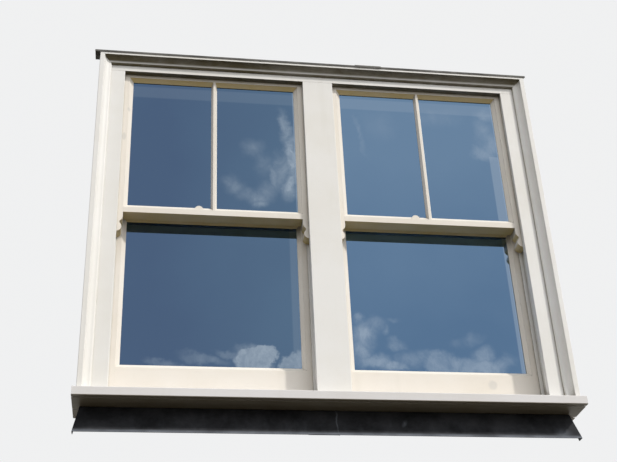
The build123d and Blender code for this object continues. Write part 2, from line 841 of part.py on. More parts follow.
def make_bar(middle, front, low, high, rails):
    """Glazing bar: a narrow web in front, a wider moulded back, scribed over both rails."""
    web, half = BAR_WEB / 2, BAR_W / 2
    back = front + SASH_T
    step = back - OVOLO - QUIRK
    with BuildPart() as bar:
        with BuildSketch(Plane.XY.offset(low - REBATE_W)):
            with BuildLine():
                Polyline(
                    (middle - web, back - QUIRK),
                    (middle - half + QUIRK, step),
                    (middle - half, step),
                    (middle - half, front + REBATE_D),
                    (middle - web, front + REBATE_D),
                    (middle - web, front),
                    (middle + web, front),
                    (middle + web, front + REBATE_D),
                    (middle + half, front + REBATE_D),
                    (middle + half, step),
                    (middle + half - QUIRK, step),
                    (middle + web, back - QUIRK),
                    close=True,
                )
            make_face()
        extrude(amount=high - low + 2 * REBATE_W)
        for rail in rails:
            add(rail, mode=Mode.SUBTRACT)
    return bar.part


def meeting_cap(middle):
    """Low domed cap on the meeting rail in front of the glass, beside the glazing bar."""
    x = middle + CAP_X
    z = MEET_TOP - REBATE_W
    with BuildPart() as cap:
        with BuildSketch(Plane.XZ.offset(-UPPER_Y - BEVEL_D)):
            with BuildLine():
                Line((x - CAP_W / 2, z), (x + CAP_W / 2, z))
                ThreePointArc((x + CAP_W / 2, z), (x, z + CAP_H), (x - CAP_W / 2, z))
            make_face()
        extrude(amount=CAP_T)
    return cap.part


def fit_to_sill(piece, left, right):
    """Bevel the foot of a lower sash member to the sill's step."""
    rise = tan(radians(SILL_SLOPE))
    near, far = STEP_Y, LOWER_Y + SASH_T + OVOLO
    base = STEP_Z + SILL_REST
    outline = (
        (near, base - STILE_W),
        (far, base - STILE_W),
        (far, base + (far - near) * rise),
        (near, base),
    )
    with BuildPart() as fitted:
        add(piece)
        add(level(outline, left, right), mode=Mode.SUBTRACT)
    return fitted.part


def make_fastener(name, middle):
    """Sash fastener: base and pivoting arm on the lower sash, and a keeper open to the arm's side."""
    x = middle + FASTENER_X
    base_y = LOWER_Y + PLATE_THIN + FASTENER_W / 2
    top = MEET_TOP + PLATE_THIN
    arm_z = top + ARM_LIFT
    with BuildPart() as base:
        with BuildSketch(Plane.XY.offset(MEET_TOP)):
            with Locations((x, base_y)):
                SlotOverall(FASTENER_L, FASTENER_W)
        extrude(amount=PLATE_THIN)
        with Locations((x, base_y, MEET_TOP)):
            Cylinder(RIVET_R, PLATE_THIN + ARM_LIFT - ARM_PLAY, align=STANDING)
            Cylinder(PIVOT_R, PLATE_THIN + ARM_LIFT + ARM_T + ARM_PLAY, align=STANDING)
        with Locations((x, base_y, arm_z + ARM_T + ARM_PLAY)):
            Cylinder(RIVET_R, RIVET_T, align=STANDING)
        fillet(base.faces().sort_by(Axis.Z)[-1].edges(), radius=ARRIS)
    save(f"fastener_{name}_base", base.part)

    knob_x = x - ARM_TAIL
    with BuildPart() as arm:
        with BuildSketch(Plane.XY.offset(arm_z)):
            with Locations((x, base_y)):
                Circle(PIVOT_R + ARM_T)
            with BuildLine():
                Polyline(
                    (x - ARM_TAIL, base_y - ARM_W / 2),
                    (x + ARM_REACH, base_y - ARM_W / 3),
                    (x + ARM_REACH, base_y + ARM_W / 3),
                    (x - ARM_TAIL, base_y + ARM_W / 2),
                    close=True,
                )
            make_face()
            with Locations((x, base_y)):
                Circle(PIVOT_R + PIVOT_EASE, mode=Mode.SUBTRACT)
        extrude(amount=ARM_T)
        with Locations((knob_x, base_y, arm_z + KNOB_R)):
            Sphere(KNOB_R)
    save(f"fastener_{name}_arm", arm.part)

    keeper_y1 = SPLIT_Y - MEET_LEAN
    keeper_y0 = keeper_y1 - KEEPER_D
    slot = ARM_W + 2 * KEEPER_SIDE
    lip_z = arm_z + ARM_T + KEEPER_EASE
    with BuildPart() as keeper:
        block(
            (x - KEEPER_L / 2, keeper_y0, MEET_TOP),
            (x + KEEPER_L / 2, keeper_y1, lip_z + KEEPER_WALL),
        )
        block(
            (x - slot / 2, keeper_y0 + KEEPER_WALL, top),
            (x + KEEPER_L / 2, keeper_y1, lip_z),
            mode=Mode.SUBTRACT,
        )
        corners = keeper.edges().filter_by(Axis.Z).group_by(Axis.Y)[0]
        fillet(corners, radius=KEEPER_WALL - ARRIS)
    save(f"fastener_{name}_keeper", keeper.part)


def bent_sheet(points, radii, left, right, thickness=LEAD_T):
    """Lead sheet bent along a (y, z) line that runs through the middle of its thickness."""
    with BuildPart() as sheet:
        with BuildSketch(Plane.YZ.offset(left)):
            with BuildLine() as bend:
                FilletPolyline(*points, radius=radii)
            trace(bend.line, line_width=thickness)
        extrude(amount=right - left)
    return sheet.part


def flashing_length(lift, left, right, thickness=LEAD_T):
    """A length of the head flashing, lifted off the moulding by lift."""
    nose = -MOULD_D - LEAD_T / 2 - lift
    top = TOP_Z + LEAD_T / 2 + lift
    back = FLASH_BACK - lift
    points = ((back, TOP_Z + FLASH_UP), (back, top), (nose, top), (nose, TOP_Z - FLASH_DOWN))
    return bent_sheet(points, (LAPPED_BEND_R - lift, BEND_R + lift), left, right, thickness)


def apron_length(drop, left, right, thickness=LEAD_T):
    """A length of the apron, held down and back from the face of the sheet that laps it by drop."""
    lean = atan2(APRON_KICK, APRON_H)
    top = -LEAD_T / 2 - drop
    corner = APRON_BACK + drop * tan((radians(90.0) - lean) / 2)
    foot = (corner - (APRON_H + top) * tan(lean), -APRON_H)
    points = ((LIP_Y + drop, APRON_TURN), (LIP_Y + drop, top), (corner, top), foot)
    return bent_sheet(points, (BEND_R + drop, LAPPED_BEND_R - drop), left, right, thickness)


def lapped(length, left, right, lap_x):
    """Two lengths of a bent sheet, the right one joggled past the end of the left one."""
    shift = LEAD_T + LAP_EASE
    lap_end = lap_x + LAP_L
    step = (lap_end + LAP_EASE, lap_end + LAP_EASE + JOGGLE)
    with BuildPart() as joggled:
        add(length(shift, lap_x, step[0]))
        add(length(shift / 2, step[0], step[1], LEAD_T + shift))
        add(length(0, step[1], right))
    return length(0, left, lap_end), joggled.part


def make_apron():
    """Lead apron turned up into the sill's groove, kicked forward at its foot, with returned ends."""
    left, right = -SILL_L / 2 + APRON_LEFT, SILL_L / 2 - APRON_RIGHT
    out_left, out_right = left - APRON_FLARE, right + APRON_FLARE
    low = -APRON_H - LEAD_T
    foot = APRON_BACK - APRON_KICK
    splayed = (
        (left, APRON_TURN),
        (left, 0),
        (out_left, low),
        (out_right, low),
        (right, 0),
        (right, APRON_TURN),
    )
    end = level(
        (
            (APRON_BACK, -LEAD_T),
            (foot, -APRON_H),
            (foot + APRON_RETURN, -APRON_H),
            (APRON_BACK + APRON_RETURN / 2, -LEAD_T),
        ),
        out_left,
        out_right,
    )
    sheets = []
    ends = ((left, out_left, LEAD_T), (right, out_right, -LEAD_T))
    for sheet, (top, bottom, inward) in zip(lapped(apron_length, out_left, out_right, APRON_LAP_X), ends):
        strip = ((top, 0), (top + inward, 0), (bottom + inward, low), (bottom, low))
        with BuildPart() as finished:
            add(keep_between(sheet, splayed))
            add(keep_between(end, strip))
        sheets.append(finished.part)
    return sheets


def main():
    os.makedirs("parts", exist_ok=True)

    # Frame: the stiles are housed in the sill and tongued into the head board
    sill = make_sill()
    stiles = [make_pulley_stile(face, into) for face, into in stile_faces()]
    with BuildPart() as housed:
        add(sill)
        for stile in stiles:
            add(stile, mode=Mode.SUBTRACT)
    sill = housed.part
    save("sill", sill)
    save("pulley_stiles", *stiles)
    save("pocket_pieces", *(make_pocket_piece(face, into) for face, into in stile_faces()))
    box_top = HEAD_BOARD_Z + HEAD_T
    save("head_board", board((-BOX_X, LINING_T, HEAD_BOARD_Z), (BOX_X, INNER_Y, box_top), stiles))

    # Outer linings
    low = SILL_NOSE_H
    half_mullion = MULLION_W / 2
    sides = {"left": (-BOX_X, -ARRIS_X), "right": (ARRIS_X, BOX_X)}
    for name, (x0, x1) in sides.items():
        lining = board((x0, 0, low), (x1, LINING_T, HEAD_Z), [sill])
        inner_x = x1 if name == "left" else x0
        save(
            f"outer_lining_{name}",
            soften(lining, lambda b, x=inner_x: b.edges().filter_by(Axis.Z).filter_by_position(
                Axis.X, x - ARRIS, x + ARRIS).group_by(Axis.Y)[0]),
        )
    mullion = board((-half_mullion, 0, low), (half_mullion, LINING_T, HEAD_Z), [sill])
    save("mullion_lining", soften(mullion, lambda b: b.edges().filter_by(Axis.Z).group_by(Axis.Y)[0]))
    head = board((-BOX_X, 0, HEAD_Z), (BOX_X, LINING_T, TOP_Z))
    save("outer_lining_head", head)

    # Inner linings and the thin boards of the weight boxes
    inner_half = MULLION_W / 2 - LAP
    side_face = ARRIS_X + LAP
    inner = [
        board((-BOX_X, INNER_Y, low), (-side_face, BACK_Y, HEAD_BOARD_Z), [sill]),
        board((-inner_half, INNER_Y, low), (inner_half, BACK_Y, HEAD_BOARD_Z), [sill]),
        board((side_face, INNER_Y, low), (BOX_X, BACK_Y, HEAD_BOARD_Z), [sill]),
        board((-BOX_X, INNER_Y, HEAD_BOARD_Z), (BOX_X, BACK_Y, TOP_Z)),
    ]
    save("inner_linings", *inner)
    cavity = side_face + STILE_T
    backs = [
        board((x, LINING_T, low), (x + BACK_T, INNER_Y, HEAD_BOARD_Z), [sill])
        for x in (-BOX_X, BOX_X - BACK_T)
    ]
    slip_low = STEP_Z + SLIP_HANG
    slip_x = (
        (-BOX_X + BACK_T, -cavity),
        (-inner_half + STILE_T, inner_half - STILE_T),
        (cavity, BOX_X - BACK_T),
    )
    slips = [
        board((x0, SPLIT_Y - SLIP_T / 2, slip_low), (x1, SPLIT_Y + SLIP_T / 2, HEAD_BOARD_Z))
        for x0, x1 in slip_x
    ]
    save("weight_box_boards", *backs, *slips)

    # Moulding round the outside, mitred at the top corners and standing on the sill
    surround = (-MOULD_X, MOULD_X, low, MOULD_Z)
    for side in ("left", "right", "top"):
        bar = mitred_bar(moulding_section, side, surround, MOULD_W, mitre=("high",))
        with BuildPart() as fitted:
            add(bar)
            add(sill, mode=Mode.SUBTRACT)
        name = "head" if side == "top" else side
        save(f"architrave_{name}", fitted.part)
    ends = (-(MOULD_X + MOULD_W) - FLASH_LEFT, MOULD_X + MOULD_W + FLASH_RIGHT)
    save("head_flashing", *lapped(flashing_length, *ends, FLASH_LAP_X))
    save("sill_apron", *make_apron())

    # Beads
    parting, staff = [], []
    for middle in LIGHTS.values():
        x0, x1 = middle - FACE_HALF, middle + FACE_HALF
        y0, y1 = PARTING_Y, PARTING_Y + BEAD_T
        parting += [
            board((x0 - BEAD_IN, y0, low), (x0 + LAP, y1, HEAD_BOARD_Z), [sill]),
            board((x1 - LAP, y0, low), (x1 + BEAD_IN, y1, HEAD_BOARD_Z), [sill]),
            board((x0 + LAP, y0, HEAD_Z), (x1 - LAP, y1, HEAD_BOARD_Z)),
        ]
        rect = (x0 + STAFF_W, x1 - STAFF_W, BACK_Z + STAFF_W, HEAD_BOARD_Z - STAFF_W)
        staff += [
            mitred_bar(staff_section, side, rect, STAFF_W) for side in ("left", "right", "bottom", "top")
        ]
    save("parting_beads", *parting)
    save("staff_beads", *staff)

    # Running gear, two cords, weights and wheels to each sash
    cases = []
    for light, middle in LIGHTS.items():
        for kind in ("upper", "lower"):
            y = CORD_Y[kind]
            pair = [(middle - FACE_HALF, -1.0), (middle + FACE_HALF, 1.0)]
            for hand, (face, into) in zip(("l", "r"), pair):
                cases.append(make_pulley_case(face, into, y))
                save(f"pulley_wheel_{kind}_{light}_{hand}", make_wheel(face, into, y))
            save(f"sash_cords_{kind}_{light}", *(make_cord(f, i, kind) for f, i in pair))
            save(f"sash_weights_{kind}_{light}", *(make_weight(f, i, kind) for f, i in pair))
    save("pulley_cases", *cases)

    # Sashes and their fasteners
    for light, middle in LIGHTS.items():
        make_sash(light, "upper", middle)
        make_sash(light, "lower", middle)
        make_fastener(light, middle)


main()
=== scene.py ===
import math
import random

import bmesh
import bpy
from mathutils import Matrix, Vector


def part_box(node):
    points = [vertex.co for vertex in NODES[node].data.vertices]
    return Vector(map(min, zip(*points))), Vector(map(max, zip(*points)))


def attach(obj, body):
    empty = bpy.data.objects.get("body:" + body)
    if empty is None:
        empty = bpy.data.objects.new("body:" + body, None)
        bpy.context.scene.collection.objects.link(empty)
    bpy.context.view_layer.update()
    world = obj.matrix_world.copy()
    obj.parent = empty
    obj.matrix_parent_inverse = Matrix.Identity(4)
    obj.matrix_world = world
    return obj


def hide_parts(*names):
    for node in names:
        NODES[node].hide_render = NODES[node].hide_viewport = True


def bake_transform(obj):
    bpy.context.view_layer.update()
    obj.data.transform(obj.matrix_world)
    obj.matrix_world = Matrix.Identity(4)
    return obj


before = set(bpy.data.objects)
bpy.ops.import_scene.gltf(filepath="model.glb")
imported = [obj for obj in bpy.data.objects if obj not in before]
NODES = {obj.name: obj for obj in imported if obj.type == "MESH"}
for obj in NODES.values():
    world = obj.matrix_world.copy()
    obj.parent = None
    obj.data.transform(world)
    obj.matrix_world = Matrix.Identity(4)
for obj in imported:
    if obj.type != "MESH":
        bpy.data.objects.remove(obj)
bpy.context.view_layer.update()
LIGHTS = ("left", "right")
MM = 0.001
random.seed(7)


# Node helpers

def rgb(r, g, b):
    return (r, g, b, 1.0)


def times(colour, factor):
    return tuple(c * factor for c in colour)


class Tree:
    """A node tree, with short calls for the nodes used here."""

    def __init__(self, tree, coords):
        self.nodes, self.links = tree.nodes, tree.links
        place = self.nodes.new("ShaderNodeTexCoord").outputs
        self.coords, self.facing = place[coords], place["Normal"]

    def new(self, kind, values=(), **props):
        node = self.nodes.new("ShaderNode" + kind)
        for key, value in props.items():
            setattr(node, key, value)
        for socket, value in dict(values).items():
            self.fill(node.inputs[socket], value)
        return node

    def fill(self, socket, value):
        """Link the socket where the value is another node's output, and set it otherwise."""
        if isinstance(value, bpy.types.NodeSocket):
            self.links.new(value, socket)
        else:
            socket.default_value = value

    def stretched(self, stretch):
        return self.new("Mapping", {"Vector": self.coords, "Scale": stretch}).outputs["Vector"]

    def noise(self, scale, detail=4.0, rough=0.55, stretch=(1, 1, 1), distortion=0.0):
        values = {"Vector": self.stretched(stretch), "Scale": scale, "Detail": detail,
                  "Roughness": rough, "Distortion": distortion}
        return self.new("TexNoise", values).outputs["Fac"]

    def remap(self, value, span, to=(0.0, 1.0), kind="LINEAR"):
        """The value, moved from one span to another and held inside it."""
        values = {"Value": value, "From Min": span[0], "From Max": span[1],
                  "To Min": to[0], "To Max": to[1]}
        return self.new("MapRange", values, clamp=True, interpolation_type=kind).outputs["Result"]

    def math(self, operation, a, b):
        return self.new("Math", {0: a, 1: b}, operation=operation).outputs[0]

    def product(self, first, *others):
        for value in others:
            first = self.math("MULTIPLY", first, value)
        return first

    def vector(self, operation, a, b=(0, 0, 0), output="Vector"):
        return self.new("VectorMath", {0: a, 1: b}, operation=operation).outputs[output]

    def times(self, vector, factor):
        return self.new("VectorMath", {0: vector, "Scale": factor}, operation="SCALE").outputs["Vector"]

    def mix(self, amount, a, b):
        return self.new("Mix", {0: amount, 6: a, 7: b}, data_type="RGBA").outputs[2]

    def split(self, socket=None):
        return self.new("SeparateXYZ", {"Vector": socket or self.coords}).outputs

    def is_seen(self):
        """1 for what the camera, mirrors and glass see, 0 for light that only fills."""
        path = self.new("LightPath").outputs
        seen = self.math("MAXIMUM", path["Is Camera Ray"], path["Is Glossy Ray"])
        return self.math("MAXIMUM", seen, path["Is Transmission Ray"])


class Shader(Tree):
    """A material that starts as one colour and is then coated with others."""

    def __init__(self, name, colour):
        self.material = bpy.data.materials.new(name)
        self.material.use_nodes = True
        super().__init__(self.material.node_tree, "Object")
        self.surface = self.nodes["Principled BSDF"]
        self.colour = rgb(*colour)

    def coat(self, amount, colour):
        """Lay a colour over what is there, as thickly as amount says."""
        self.colour = self.mix(amount, self.colour, rgb(*colour))

    def crevice(self, distance, inside=False):
        """1 in the open and lower in corners or, with inside, lower along outer edges."""
        node = self.new("AmbientOcclusion", {"Distance": distance}, samples=8, inside=inside)
        return node.outputs["AO"]

    def drifted(self, scale, reach):
        """Coordinates pushed about by noise, which frays the edge of anything placed by them."""
        values = {"Vector": self.coords, "Scale": scale, "Detail": 5.0, "Roughness": 0.6}
        push = self.new("TexNoise", values).outputs["Color"]
        push = self.times(self.vector("SUBTRACT", push, (0.5, 0.5, 0.5)), reach)
        return self.vector("ADD", self.coords, push)

    def spot(self, place, x, z, wide, tall, lean=0.0, firm=0.0, amount=1.0):
        """An oval on the window's face: amount at its middle, 0 at its edge."""
        values = {"Vector": place, "Location": (x, 0.0, z), "Rotation": (0.0, math.radians(lean), 0.0),
                  "Scale": (wide, ANY_DEPTH, tall)}
        local = self.new("Mapping", values, vector_type="TEXTURE").outputs["Vector"]
        reach = self.vector("LENGTH", local, output="Value")
        return self.remap(reach, (1.0, firm), (0.0, amount), "SMOOTHSTEP")

    def bump(self, height, strength, distance):
        """Roughen the surface, on top of the bumps it has."""
        values = {"Height": height, "Strength": strength, "Distance": distance}
        normal = self.surface.inputs["Normal"]
        if normal.is_linked:
            values["Normal"] = normal.links[0].from_socket
        self.fill(normal, self.new("Bump", values).outputs["Normal"])

    def build(self, **values):
        """The material, with all coats and the values of its surface."""
        self.fill(self.surface.inputs["Base Color"], self.colour)
        for key, value in values.items():
            self.fill(self.surface.inputs[key.replace("_", " ")], value)
        return self.material


# Materials: noise takes its scale per metre, its detail and its roughness

ANY_DEPTH = 1000.0  # a spot goes right through the window
ALONG = {"x": (0.04, 1, 1), "y": (1, 0.04, 1), "z": (1, 1, 0.04)}  # draws noise out along an axis
AWAY_FROM_SUN = (-0.95, 0.0, -0.31)  # faces that look this way, away from the sun, and lie in a recess get painted shade
RAIN_STREAK = (0.56, 0.54, 0.47)
SPECK = (0.42, 0.38, 0.31)
CORNER_SHADE_AND_GRIME = (0.25, 0.215, 0.14)
RECESS_SHADE = (0.118, 0.098, 0.054)
UNDERCOAT = (0.50, 0.44, 0.34)
SMUDGE = (0.52, 0.51, 0.49)
SMUDGES = (  # the middle (x, z), half width and half height of each
    (-0.741, 1.071, 0.010, 0.022),
    (-0.728, 1.198, 0.007, 0.012),
    (0.580, 0.120, 0.021, 0.021),
)


def paint(name, grain, clean, aged, underside_shade, most_underside_shade):
    """Old gloss paint on timber, brushed along the grain, with painted shade in corners, in recesses that
    look away from the sun and, olive, on the faces that look down.
    """
    look = Shader(name, clean)
    patches = look.noise(3.0, 5.0, 0.6)
    look.coat(look.remap(patches, (0.38, 0.72)), aged)
    streaks = look.noise(14.0, 3.0, 0.6, stretch=(1, 1, 0.08))
    look.coat(look.remap(streaks, (0.58, 0.82), (0.0, 0.22)), RAIN_STREAK)
    specks = look.noise(420.0, 2.0, 0.5)
    look.coat(look.remap(specks, (0.70, 0.77), (0.0, 0.4)), SPECK)

    # Painted shade and grime in the corners, darker where a corner is deeper.
    corner = look.remap(look.crevice(12.0 * MM), (0.20, 0.80), (0.55, 0.0))
    uneven = look.remap(look.noise(22.0, 4.0), (0.3, 0.7), (0.35, 1.0))
    look.coat(look.product(corner, uneven), CORNER_SHADE_AND_GRIME)

    # Painted shade on faces that look away from the sun and lie deep in recesses.
    turned_away = look.remap(look.vector("DOT_PRODUCT", look.facing, AWAY_FROM_SUN, output="Value"), (0.10, 0.62), (0.0, 0.88))
    recess = look.remap(look.crevice(70.0 * MM), (0.58, 0.78), (1.0, 0.0))
    uneven = look.remap(look.noise(9.0, 5.0), (0.3, 0.7), (0.82, 1.0))
    look.coat(look.product(turned_away, recess, uneven), RECESS_SHADE)

    # Painted shade, olive, on the faces that look down.
    down = look.remap(look.split(look.facing)["Z"], (-0.08, -0.45), (0.0, most_underside_shade))
    uneven = look.remap(look.noise(12.0, 6.0, 0.65, stretch=(0.5, 1, 1)), (0.3, 0.6), (0.80, 1.0))
    look.coat(look.product(down, uneven), underside_shade)

    edge = look.remap(look.crevice(2.2 * MM, inside=True), (0.35, 0.8), (1.0, 0.0))
    chipped = look.remap(look.noise(60.0, 5.0, 0.65), (0.58, 0.68))
    look.coat(look.product(edge, chipped, 0.5), UNDERCOAT)

    place = look.drifted(40.0, 8.0 * MM)
    for smudge in SMUDGES:
        look.coat(look.spot(place, *smudge, firm=0.5, amount=0.42), SMUDGE)
    look.bump(look.noise(190.0, 3.0, 0.55, stretch=ALONG[grain]), 0.22, 0.5 * MM)
    look.bump(look.noise(16.0, 4.0, 0.5), 0.20, 1.2 * MM)
    return look.build(Roughness=look.remap(patches, (0.3, 0.75), (0.40, 0.58)), Specular_IOR_Level=0.18)


def brushed(name, *recipe):
    """One paint in three materials, for boards that run along each axis."""
    return {axis: paint(f"{name}_{axis}", axis, *recipe) for axis in "xyz"}


# Each paint: its clean colour, its aged colour, the olive colour of the painted shade on faces that look
# down, and the most of it.
PAINT = {
    "frame": brushed("white_frame_paint", (0.80, 0.79, 0.775), (0.75, 0.73, 0.69),
                     (0.078, 0.060, 0.021), 0.96),
    "sash": brushed("cream_sash_paint", (0.80, 0.755, 0.695), (0.755, 0.70, 0.625),
                    (0.52, 0.38, 0.115), 0.80),
    "sill": {"x": paint("white_sill_paint", "x", (0.715, 0.70, 0.705), (0.67, 0.65, 0.64),
                        (0.150, 0.110, 0.036), 0.72)},
}


def lead(name, dark, pale, weathering, scuffs=(), hem=None):
    """Dull sheet lead with paler oxide streaks, scuffed edges and a pale hem from one height to another."""
    look = Shader(name, dark)
    blotch = look.noise(7.0, 6.0, 0.65)
    look.coat(look.remap(blotch, (0.38, 0.62)), times(dark, 2.4))
    runs = look.noise(26.0, 4.0, 0.6, stretch=(1, 1, 0.12))
    look.coat(look.remap(runs, (0.56, 0.80), (0.0, weathering)), pale)
    look.coat(look.remap(look.crevice(1.0 * MM, inside=True), (0.4, 0.9), (0.8, 0.0)), pale)
    place = look.drifted(30.0, 20.0 * MM)
    for scuff in scuffs:
        look.coat(look.spot(place, *scuff), pale)
    # Paler, in patches, towards the bottom edge of the sheet.
    if hem:
        patchy = look.remap(look.noise(11.0, 5.0), (0.3, 0.6), (0.35, 0.9))
        look.coat(look.product(look.remap(look.split()["Z"], hem), patchy), times(pale, 1.7))
    look.bump(look.noise(9.0, 3.0, 0.5), 0.5, 4.0 * MM)
    look.bump(look.noise(160.0, 4.0, 0.6), 0.25, 0.6 * MM)
    return look.build(Roughness=look.remap(blotch, (0.3, 0.7), (0.55, 0.75)), Specular_IOR_Level=0.03)


APRON_SCUFFS = (  # the values of a spot: one at the lap, one to its right and one at the right end
    (0.006, -0.035, 0.004, 0.060, 4.0, 0.2, 0.7),
    (0.235, -0.050, 0.010, 0.022, 30.0, 0.0, 0.6),
    (0.78, -0.085, 0.045, 0.035, -20.0, 0.0, 0.6),
)
APRON_HEM = (-0.087, -0.098)
LEAD = {
    # The apron's lead is much darker than the flashing's: painted shade, as the apron hangs under the sill.
    "sill_apron": lead("apron_lead_in_painted_shade", (0.017, 0.0175, 0.0195), (0.12, 0.13, 0.15), 0.14,
                       APRON_SCUFFS, APRON_HEM),
    "head_flashing": lead("weathered_flashing_lead", (0.075, 0.073, 0.069), (0.30, 0.29, 0.275), 0.4),
}
CAST = lead("cast_lead", (0.09, 0.09, 0.095), (0.24, 0.24, 0.25), 0.2)


def metal(name, shade, tarnish, smoothest):
    """Handled metal, duller in its corners, with a roughness that starts at smoothest."""
    look = Shader(name, shade)
    cloudy = look.noise(55.0, 5.0, 0.6)
    look.coat(look.remap(cloudy, (0.35, 0.7)), tarnish)
    look.coat(look.remap(look.crevice(6.0 * MM), (0.3, 0.9), (0.8, 0.0)), times(tarnish, 0.45))
    look.bump(look.noise(700.0, 2.0, 0.5, stretch=(1, 1, 0.1)), 0.12, 0.2 * MM)
    rough = look.remap(cloudy, (0.3, 0.7), (smoothest, smoothest + 0.18))
    return look.build(Metallic=1.0, Roughness=rough)


BRASS = metal("handled_brass", (0.60, 0.43, 0.20), (0.36, 0.25, 0.12), 0.24)
SPACER = metal("spacer_bar", (0.55, 0.56, 0.57), (0.36, 0.37, 0.38), 0.3)

LATE_WOOD = (0.53, 0.39, 0.24)
EARLY_WOOD = (0.61, 0.47, 0.31)
DARKENED_WOOD = (0.38, 0.26, 0.15)


def bare_wood(name):
    """Unpainted softwood with grain along its length."""
    look = Shader(name, LATE_WOOD)
    rings = {"Vector": look.stretched((1, 1, 0.06)), "Scale": 38.0, "Distortion": 9.0, "Detail": 3.0,
             "Detail Scale": 1.2}
    frame_reflections = look.new("TexWave", rings, bands_direction="X").outputs["Fac"]
    look.coat(frame_reflections, EARLY_WOOD)
    wander = look.noise(5.0, 3.0, 0.5, stretch=(1, 1, 0.15))
    look.coat(look.remap(wander, (0.4, 0.75), (0.0, 0.5)), DARKENED_WOOD)
    look.bump(frame_reflections, 0.25, 0.4 * MM)
    return look.build(Roughness=0.72)


PINE = bare_wood("box_pine")

CLEAN_CORD = (0.70, 0.66, 0.56)
WORN_CORD = (0.46, 0.42, 0.34)
FLUFF = (0.33, 0.30, 0.25)


def cotton(name):
    """Braided cotton cord, greyed in patches by wear."""
    look = Shader(name, CLEAN_CORD)
    worn = look.noise(18.0, 3.0, 0.6, stretch=(1, 1, 0.4))
    look.coat(look.remap(worn, (0.4, 0.75)), WORN_CORD)
    fluff = look.noise(900.0, 3.0, 0.6)
    look.coat(look.remap(fluff, (0.3, 0.7), (0.0, 0.35)), FLUFF)
    look.bump(fluff, 0.3, 0.3 * MM)
    return look.build(Roughness=0.9, Sheen_Weight=0.25)


COTTON = cotton("sash_cord_cotton")


# Glass: a painted reflection of the blue sky, with painted cloud reflections placed on the window's face

BILLOW_SHARE = 0.62  # of the cloud's texture, and the veil has the rest


def glass(name, deep, pale, fade, cloud, puffs, frame_reflections):
    """A tinted mirror painted with the reflection of a blue sky, which pales along one axis, with a painted
    cloud in it.
    """
    look = Shader(name, deep)
    axis, *reach = fade
    uneven = look.remap(look.noise(2.2, 3.0, 0.5), (0.3, 0.7), (-0.2, 0.2))
    paler = look.math("ADD", look.remap(look.split()[axis], reach), uneven)
    look.coat(look.remap(paler, (0.0, 1.0)), pale)

    # Painted reflections of clouds, in puffs with frayed edges.
    place = look.drifted(9.0, 110.0 * MM)
    cover = 0.0
    for puff in puffs:
        cover = look.math("MAXIMUM", cover, look.spot(place, *puff))
    billow = look.noise(15.0, 8.0, 0.66, stretch=(1, 1, 0.6), distortion=0.8)
    billow = look.remap(billow, (0.34, 0.62), (0.15, 1.0))
    veil = look.remap(look.noise(5.0, 3.0, 0.5), (0.3, 0.6), (0.35, 1.0))
    wisps = look.math("ADD", look.product(billow, BILLOW_SHARE), look.product(veil, 1.0 - BILLOW_SHARE))
    curls = look.remap(look.noise(30.0, 6.0, 0.6), (0.32, 0.64), (0.50, 1.0))
    heap = look.product(look.remap(cover, (0.62, 0.84)), curls)
    look.coat(look.product(cover, look.math("MAXIMUM", wisps, heap)), cloud)

    # Pale strips along the edges: painted reflections of the frame.
    x, _, z = look.split()
    for across, upward, softness, amount in frame_reflections:
        strip = amount
        for value, (low, high) in ((x, across), (z, upward)):
            rise = look.remap(value, (low - softness, low))
            fall = look.remap(value, (high + softness, high))
            strip = look.product(strip, rise, fall)
        look.coat(strip, cloud)
    look.bump(look.noise(3.5, 1.0, 0.4), 0.06, 2.0 * MM)
    dust = look.remap(look.noise(160.0, 4.0, 0.65), (0.5, 0.8), (0.02, 0.09))
    return look.build(Metallic=1.0, Roughness=dust)


# Each puff of painted cloud reflection: its middle (x, z), half width, half height, lean in degrees,
# firmness of its edge and amount.
LEFT_PUFFS = (
    (-0.135, 1.165, 0.034, 0.110, -6.0, 0.1, 0.78), (-0.112, 1.020, 0.042, 0.150, 0.0, 0.2, 0.90),
    (-0.150, 0.960, 0.056, 0.130, 10.0, 0.0, 0.66), (-0.112, 0.900, 0.044, 0.110, 14.0, 0.2, 0.86),
    (-0.250, 1.045, 0.075, 0.060, 0.0, 0.0, 0.44), (-0.215, 0.990, 0.060, 0.090, -12.0, 0.0, 0.34),
    (-0.180, 0.930, 0.028, 0.090, -8.0, 0.0, 0.62), (-0.205, 0.870, 0.056, 0.075, 20.0, 0.0, 0.52),
    (-0.335, 0.890, 0.060, 0.060, -20.0, 0.0, 0.42), (-0.290, 0.850, 0.060, 0.045, 15.0, 0.0, 0.38),
    (-0.240, 0.835, 0.085, 0.055, 0.0, 0.0, 0.55), (-0.235, 0.805, 0.055, 0.034, 0.0, 0.0, 0.60),
    (-0.262, 0.200, 0.084, 0.056, 6.0, 0.74, 0.86), (-0.222, 0.220, 0.052, 0.042, 0.0, 0.76, 0.88),
    (-0.128, 0.186, 0.052, 0.040, 0.0, 0.74, 0.76), (-0.100, 0.198, 0.026, 0.038, 0.0, 0.5, 0.80),
    (-0.265, 0.240, 0.085, 0.034, 6.0, 0.3, 0.42), (-0.330, 0.220, 0.075, 0.024, 16.0, 0.3, 0.36),
    (-0.440, 0.203, 0.110, 0.028, 5.0, 0.3, 0.36), (-0.555, 0.180, 0.090, 0.022, 12.0, 0.3, 0.34),
)
